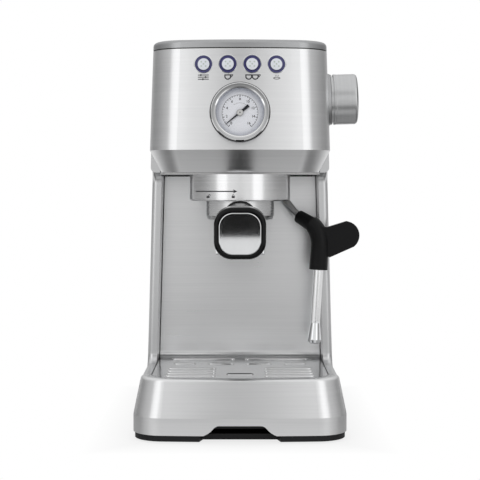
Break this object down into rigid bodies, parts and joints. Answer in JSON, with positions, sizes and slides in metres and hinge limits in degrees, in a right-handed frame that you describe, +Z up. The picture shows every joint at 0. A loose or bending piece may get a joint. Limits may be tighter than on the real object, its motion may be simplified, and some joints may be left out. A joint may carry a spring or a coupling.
{
  "type": "espresso machine",
  "caption": "Slim pump espresso machine: bowed steel head with push buttons, pressure gauge and steam knob, locking portafilter, swinging steam wand, slide-out drip tray, lift-out water tank.",
  "frame": {"origin": "middle of the whole machine's outline box, with knob and handle, on the surface it stands on; the body's own middle plane is 9.6 mm to the left of it", "axes": "+X to the machine's right as its user faces it, where the steam knob is; +Y to the back, where the water tank is; +Z up"},
  "size_m": [0.2233, 0.3687, 0.3818],
  "materials": {
    "black_plastic": "matt black moulding",
    "side_silver": "silver lacquered moulding with a brushed look",
    "steel_front": "stainless sheet, fine horizontal brushing",
    "steel_dark": "stainless sheet, darker satin",
    "steel_plain": "pressed stainless",
    "chrome": "polished chrome",
    "alu": "turned and satin",
    "alu_cast": "as cast",
    "rubber_black": "black rubber",
    "rubber_clear": "milky silicone hose",
    "dial_white": "white face with scale",
    "needle_black": "black",
    "clear": "clear lens",
    "light_ring": "dark blue light guide",
    "cap_silver": "metallised cap",
    "tank": "smoked clear moulding",
    "white_plastic": "white moulding",
    "brass": "plain turned brass",
    "board": "green circuit board with parts",
    "black_gloss": "glossy black"
  },
  "bodies": {
    "machine": {"back_panel": "steel_front", "base_pan": "black_plastic", "button_bezels": "chrome", "button_board": "board", "button_light_rings": "light_ring", "case_screws": "steel_plain", "control_board": "board", "cord_gland": "black_plastic", "cup_tray": "steel_plain", "gauge_bezel": "chrome", "gauge_case": "black_plastic", "gauge_dial": "dial_white", "gauge_lens": "clear", "group_collar": "steel_front", "group_gasket": "rubber_black", "group_head": "alu_cast", "head_shell": "steel_front", "head_underside": "black_plastic", "knob_collar": "steel_dark", "pump": "white_plastic", "pump_mounts": "rubber_black", "rubber_feet": "rubber_black", "shower_screen": "steel_plain", "shower_screw": "brass", "side_panel_left": "side_silver", "side_panel_right": "side_silver", "solenoid_valve": "brass", "steam_pipes": "steel_plain", "steam_valve": "brass", "tank_bay": "black_plastic", "thermoblock": "alu_cast", "top_rim": "steel_dark", "wand_socket": "white_plastic", "water_hoses": "rubber_clear"},
    "button_program": {"button_program": "cap_silver"},
    "button_one_cup": {"button_one_cup": "cap_silver"},
    "button_two_cup": {"button_two_cup": "cap_silver"},
    "button_steam": {"button_steam": "cap_silver"},
    "gauge_needle": {"gauge_needle": "needle_black"},
    "portafilter": {"portafilter_body": "chrome", "filter_basket": "steel_plain", "portafilter_spout": "chrome", "handle_collar": "black_gloss", "handle_sleeve": "black_gloss", "handle_end_ring": "black_gloss", "handle_end_plate": "chrome"},
    "steam_knob": {"steam_knob": "alu", "valve_spindle": "brass"},
    "wand_swivel": {"wand_swivel": "brass"},
    "steam_wand": {"wand_tube": "chrome", "wand_grip": "rubber_black", "wand_tip": "chrome"},
    "drip_tray": {"drip_tray": "black_plastic", "tray_front": "steel_front"},
    "drip_grille": {"drip_grille": "steel_plain"},
    "water_tank": {"water_tank": "tank", "tank_valve": "white_plastic", "lid_pins": "steel_plain"},
    "tank_lid": {"tank_lid": "black_plastic"}
  },
  "joints": [
    {"name": "program_press", "type": "slide", "parent": "machine", "child": "button_program", "axis": [0.1166, 0.9857, -0.1219], "range_m": [0, 0.0015], "stiffness_N_per_m": 600, "springref_m": -0.001},
    {"name": "one_cup_press", "type": "slide", "parent": "machine", "child": "button_one_cup", "axis": [0.0389, 0.9918, -0.1219], "range_m": [0, 0.0015], "stiffness_N_per_m": 600, "springref_m": -0.001},
    {"name": "two_cup_press", "type": "slide", "parent": "machine", "child": "button_two_cup", "axis": [-0.0389, 0.9918, -0.1219], "range_m": [0, 0.0015], "stiffness_N_per_m": 600, "springref_m": -0.001},
    {"name": "steam_press", "type": "slide", "parent": "machine", "child": "button_steam", "axis": [-0.1166, 0.9857, -0.1219], "range_m": [0, 0.0015], "stiffness_N_per_m": 600, "springref_m": -0.001},
    {"name": "needle_turn", "type": "hinge", "parent": "machine", "child": "gauge_needle", "pos_m": [-0.00961, -0.0723, 0.3108], "axis": [0, 0.9925, -0.1219], "range_deg": [0, 270], "stiffness_Nm_per_rad": 0.00002},
    {"name": "portafilter_turn", "type": "hinge", "parent": "machine", "child": "portafilter", "pos_m": [-0.00961, -0.01866, 0.23], "axis": [0, 0, 1], "range_deg": [-45, 0]},
    {"name": "steam_knob_turn", "type": "hinge", "parent": "machine", "child": "steam_knob", "pos_m": [0.07762, 0.01934, 0.329], "axis": [0.9996, 0, 0.0288], "range_deg": [0, 270]},
    {"name": "wand_swing", "type": "hinge", "parent": "machine", "child": "wand_swivel", "pos_m": [0.03039, 0.03034, 0.246], "axis": [0, 0, 1], "range_deg": [-40, 0]},
    {"name": "wand_tilt", "type": "hinge", "parent": "wand_swivel", "child": "steam_wand", "pos_m": [0.03039, 0.03034, 0.246], "axis": [0, -1, 0], "range_deg": [0, 8]},
    {"name": "tray_slide", "type": "slide", "parent": "machine", "child": "drip_tray", "axis": [0, -1, 0], "range_m": [0, 0.16]},
    {"name": "grille_lift", "type": "slide", "parent": "drip_tray", "child": "drip_grille", "axis": [0, 0, 1], "range_m": [0, 0.018]},
    {"name": "tank_lift", "type": "slide", "parent": "machine", "child": "water_tank", "axis": [0, 0, 1], "range_m": [0, 0.32]},
    {"name": "tank_lid_turn", "type": "hinge", "parent": "water_tank", "child": "tank_lid", "pos_m": [-0.00961, 0.17974, 0.3775], "axis": [-1, 0, 0], "range_deg": [0, 90]}
  ]
}
